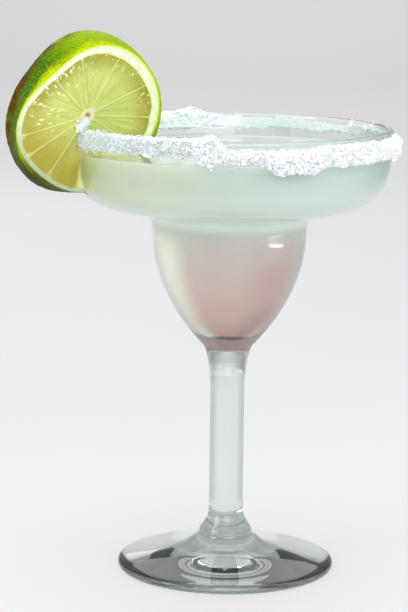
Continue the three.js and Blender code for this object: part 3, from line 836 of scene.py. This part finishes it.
def flesh_colour(tree, ray, across, up):
    """Lime flesh: lighter in soft streaks along the rays, olive towards the pith, with painted
    shade to the lower left, a patch of painted light at the foot beside the slit where the crust
    and glass shade it, and painted glints, long and pale on the left and small under the pith."""
    streak = noise(tree, scaled(tree, ray, (55, 0.12, 0)), 1.0, 2.0)
    flesh = mixed(tree, remap(tree, streak, 0.25, 0.75), FLESH_DEEP, FLESH_LIGHT)
    grain = noise(tree, scaled(tree, ray, (160, 0.9, 0)), 1.0, 3.0)
    flesh = mixed(tree, remap(tree, grain, 0.35, 0.75, 0.0, 0.35), flesh, FLESH_GRAIN)
    toward = attribute(tree, "toward_pith")
    patch = remap(tree, noise(tree, scaled(tree, ray, (9, 0.05, 0)), 1.0), 0.3, 0.6, 0.25, 0.9)
    olive = times(tree, remap(tree, toward, 0.62, 1.0), patch)
    flesh = mixed(tree, olive, flesh, FLESH_OLIVE)
    # Painted shade to the lower left
    shaded_low_left = calc(tree, "ADD", times(tree, across, -0.55), times(tree, up, -0.85))
    flesh = mixed(tree, remap(tree, shaded_low_left, 1.0, 20.0, 0.0, 0.85), flesh, FLESH_PAINTED_SHADE)
    # Painted light at the foot beside the slit, where the crust and glass shade it
    lit_low_right = times(tree, remap(tree, up, -6.5, -9.5), remap(tree, across, -1.0, 0.8, 0.0, 0.8))
    flesh = mixed(tree, lit_low_right, flesh, FLESH_PAINTED_LIGHT)
    # Painted glints: long ones on the left and small ones under the pith
    long_cells = scaled(tree, ray, (84, 0.3, 0))
    round_cells = scaled(tree, ray, (92, 0.62, 0))
    left = remap(tree, calc(tree, "SUBTRACT", times(tree, up, 0.5), across), 0.0, 14.0)
    left = times(tree, left, remap(tree, up, -9.0, -2.0))
    top = times(tree, remap(tree, toward, 0.74, 0.9), remap(tree, up, -4.0, 12.0))
    for cells, where, low in ((long_cells, left, 0.44), (round_cells, top, 0.36)):
        dot = node(tree, "TexVoronoi", {"Vector": cells, "Scale": 1.0, "Randomness": 1.0})
        painted_glint = remap(tree, dot.outputs["Distance"], 0.36, 0.1, 0.0, 0.9)
        some = remap(tree, noise(tree, cells, 0.31), low, low + 0.12)
        flesh = mixed(tree, times(tree, times(tree, painted_glint, some), where), flesh, FLESH_PAINTED_GLINT)
    return flesh


def rind_colour(tree, place, across, up, out):
    """Lime rind: yellow-green beside the cut, with painted light on the sunny top, mid green behind
    it, dark fine pores, brown patches along the far edge on the left, and a dull olive painted
    shade underneath. Gives its colour and the pores' mask."""
    pores = node(tree, "TexVoronoi", {"Vector": place, "Scale": 1.25, "Randomness": 0.9})
    pore = remap(tree, pores.outputs["Distance"], 0.0, 0.6)
    blotch = noise(tree, place, 0.13, 4.0)
    speckle = remap(tree, noise(tree, place, 1.6, 3.0, 0.7), 0.35, 0.7)
    back = remap(tree, calc(tree, "ADD", out, times(tree, blotch, -5.0)), 3.6, 0.8)
    # Painted light on the sunny top
    top = remap(tree, calc(tree, "ADD", times(tree, across, 0.75), up), 4.0, 28.0)
    behind = mixed(tree, speckle, RIND_DARK, RIND_GREEN)
    behind = mixed(tree, top, behind, RIND_PAINTED_LIGHT_TOP)
    green = mixed(tree, back, RIND_BESIDE_CUT, behind)
    in_pore = calc(tree, "SUBTRACT", 0.5, times(tree, pore, 0.5))
    green = mixed(tree, in_pore, green, RIND_PORE)
    # Brown patches along the far edge on the left
    left = remap(tree, calc(tree, "SUBTRACT", times(tree, up, 0.25), across), 7.0, 15.0)
    brown_patch = times(tree, left, remap(tree, blotch, 0.36, 0.54))
    brown_patch = times(tree, brown_patch, remap(tree, out, 1.0, -4.0))
    brown_patch = times(tree, brown_patch, remap(tree, speckle, 0.0, 1.0, 1.0, 0.75))
    green = mixed(tree, brown_patch, green, RIND_BROWN_PATCH)
    # Painted olive shade underneath
    under = times(tree, remap(tree, up, -6.0, -22.0), 0.85)
    return mixed(tree, under, green, RIND_PAINTED_SHADE), pore


def pith_colour(tree, place, across, up):
    """Lime pith: white with green clouds, yellow-green at both of its edges, and greyer to the
    lower left with painted shade."""
    cloud = remap(tree, noise(tree, place, 0.5, 3.0), 0.3, 0.7)
    over = attribute(tree, "across_pith")
    fringe = calc(tree, "ADD", remap(tree, over, 0.62, 1.0), remap(tree, over, 0.3, 0.0, 0.0, 0.4))
    pith = mixed(tree, fringe, mixed(tree, cloud, PITH_GREEN, PITH_WHITE), PITH_FRINGE)
    # Painted shade to the lower left
    shaded_low_left = calc(tree, "ADD", times(tree, across, -0.6), times(tree, up, -0.8))
    return mixed(tree, remap(tree, shaded_low_left, 8.0, 26.0, 0.0, 0.8), pith, PITH_SHADED)


def lime_finish(piece):
    """A cut lime by its zones: translucent flesh, pale membranes, white pith, a reddish core in
    a pale oval, and an oily green rind with pores as fine bumps."""
    tree, shader = new_material("lime", piece)
    place, ray = attribute(tree, "wheel_place", "Vector"), attribute(tree, "ray_place", "Vector")
    parts = node(tree, "SeparateXYZ", {0: place}).outputs
    across, up = parts["X"], parts["Y"]
    flesh, pith = flesh_colour(tree, ray, across, up), pith_colour(tree, place, across, up)
    face = mixed(tree, attribute(tree, "flesh"), pith, flesh)
    strength = remap(tree, noise(tree, place, 0.2), 0.3, 0.7, 0.35, 0.8)
    face = mixed(tree, times(tree, attribute(tree, "membrane"), strength), face, MEMBRANE)
    face = mixed(tree, attribute(tree, "core_ring"), face, CORE_PALE)
    core = remap(tree, attribute(tree, "core"), 0.25, 0.95, 0.0, 0.85)
    face = mixed(tree, core, face, CORE_RED)
    green, pore = rind_colour(tree, place, across, up, parts["Z"])
    rind = attribute(tree, "rind")
    pitted = {"Height": times(tree, pore, rind), "Strength": 0.5, "Distance": 0.0004}
    bump = node(tree, "Bump", pitted).outputs[0]
    set_shader(tree, shader, Base_Color=mixed(tree, rind, face, green), Normal=bump)
    set_shader(tree, shader, Roughness=0.5, IOR=1.36, Specular_IOR_Level=0.1)
    set_shader(tree, shader, Subsurface_Weight=0.35, Subsurface_Scale=0.002)
    set_shader(tree, shader, Subsurface_Radius=(1.0, 1.0, 0.35))


def make_floor():
    """A pale floor a hair under the foot, flat up to the backdrop's start y0 and then curving
    up by rise (y - y0)^2, far behind."""
    span = np.linspace(-4, 4, 9)
    level, curved = np.linspace(-3, BACKDROP_FROM, 8), np.linspace(BACKDROP_FROM, BACKDROP_TO, 17)
    depth = np.concatenate([level, curved[1:]])
    across, away = np.meshgrid(span, depth)
    rise = BACKDROP_RISE * np.clip(away - BACKDROP_FROM, 0, None) ** 2
    points = np.stack([across, away, rise - FLOOR_GAP], -1).reshape(-1, 3)
    row, column = np.arange(len(depth) - 1)[:, None], np.arange(len(span) - 1)[None]
    first = (row * len(span) + column).ravel()
    faces = np.stack([first, first + 1, first + 1 + len(span), first + len(span)], 1)
    mesh = bpy.data.meshes.new("floor")
    mesh.from_pydata(points.tolist(), [], faces.tolist())
    mesh.shade_smooth()
    floor = bpy.data.objects.new("floor", mesh)
    bpy.context.scene.collection.objects.link(floor)
    tree, shader = new_material("pale_floor", floor)
    mask, _ = mottle(tree, object_place(tree), 3.0, 0.0)
    set_shader(tree, shader, Base_Color=mixed(tree, mask, *FLOOR_GREYS), Roughness=0.6)


def area_light(name, place, target, size, power, **how):
    """A soft rectangular light at a place, facing a target, with its size in m and its power in
    watts. It may be given a narrower beam in degrees, a colour, mirrored=False to leave it out
    of mirror-like surfaces, and through_glass=False to leave it out of what glass shows."""
    light = bpy.data.lights.new(name, "AREA")
    light.shape = "RECTANGLE"
    light.size, light.size_y = size
    light.energy = power
    light.spread = np.radians(how.get("beam", 180))
    light.color = how.get("colour", (1, 1, 1))
    holder = bpy.data.objects.new(name, light)
    toward = Vector(target) - Vector(place)
    holder.rotation_euler = toward.to_track_quat("-Z", "Y").to_euler()
    holder.location = place
    holder.visible_camera = False
    holder.visible_glossy = how.get("mirrored", True)
    holder.visible_transmission = how.get("through_glass", True)
    bpy.context.scene.collection.objects.link(holder)


def make_lights():
    """A soft window from the upper left, a wide fill from the front, weaker windows from the
    right and from behind on the left, one that glints on the foot, a long soft light over the
    table, a small low one that glints on the well, and a dim room."""
    drink, well, foot = (0, 0, 0.11), (0, 0, 0.09), (-0.03, 0, 0.005)
    unseen = {"mirrored": False, "through_glass": False}
    area_light("window_left", (-0.9, -0.6, 0.6), drink, (0.6, 0.7), 6.5)
    area_light("front_fill", (0.3, -1.3, 0.6), drink, (1.1, 0.8), 8.5)
    area_light("window_right", (0.8, -0.35, 0.5), drink, (0.35, 0.5), 3, mirrored=False)
    area_light("window_behind", (-0.75, 1.0, 0.3), well, (0.35, 0.6), 2, **unseen)
    area_light("foot_glint", (-0.153, 1.2, 0.4), foot, (0.127, 0.16), 0.075, through_glass=False)
    area_light("over_table", (0, 1.6, 1.5), (0, 1.6, 0), (1.2, 4.6), 20, through_glass=False)
    area_light("low_glint", (0.123, -0.05, 0.093), (0.016, -0.021, 0.107), (0.066, 0.005), 0.0007,
               beam=42, colour=(1, 0.98, 0.86))
    world = bpy.data.worlds.new("room")
    bpy.context.scene.world = world
    world.use_nodes = True
    room = world.node_tree.nodes["Background"].inputs
    room["Color"].default_value = (0.95, 0.97, 1.0, 1)
    room["Strength"].default_value = 0.72


def make_camera():
    """The photo's camera: in front of the glass's axis and a little above the rim, looking down,
    turned a little to the left and rolled a little, through a long lens."""
    lens = bpy.data.cameras.new("camera")
    lens.sensor_width = SENSOR
    lens.lens = LENS
    lens.clip_start = 0.01
    camera = bpy.data.objects.new("camera", lens)
    turn = Matrix.Rotation(np.radians(CAMERA_TURN), 4, "Z")
    look = Matrix.Rotation(np.radians(90 - CAMERA_DOWN), 4, "X")
    roll = Matrix.Rotation(np.radians(CAMERA_ROLL), 4, "Z")
    camera.matrix_world = Matrix.Translation(CAMERA_PLACE) @ turn @ look @ roll
    bpy.context.scene.collection.objects.link(camera)
    bpy.context.scene.camera = camera
    bpy.context.scene.view_settings.view_transform = "Standard"


glass = skin("glass_smooth", turned(glass_profile()), "glass")
glass_finish(glass)
drink = skin("drink_poured", turned(drink_profile()), "drink")
lay_attribute(drink, "wheel_behind", wheel_behind(drink))
drink_finish(drink)
lime = make_lime()
lime_finish(lime)
crust = make_crust()
fine_grains, coarse_grains = scatter_salt()
for salty, soft in ((crust, 0.6), (fine_grains, 0.6), (coarse_grains, 0.42)):
    salt_finish(salty, -0.045, 0.016, soft)
salt_finish(salt_in_slit(), -0.07, -0.06, 0.1)
make_floor()
make_lights()
make_camera()
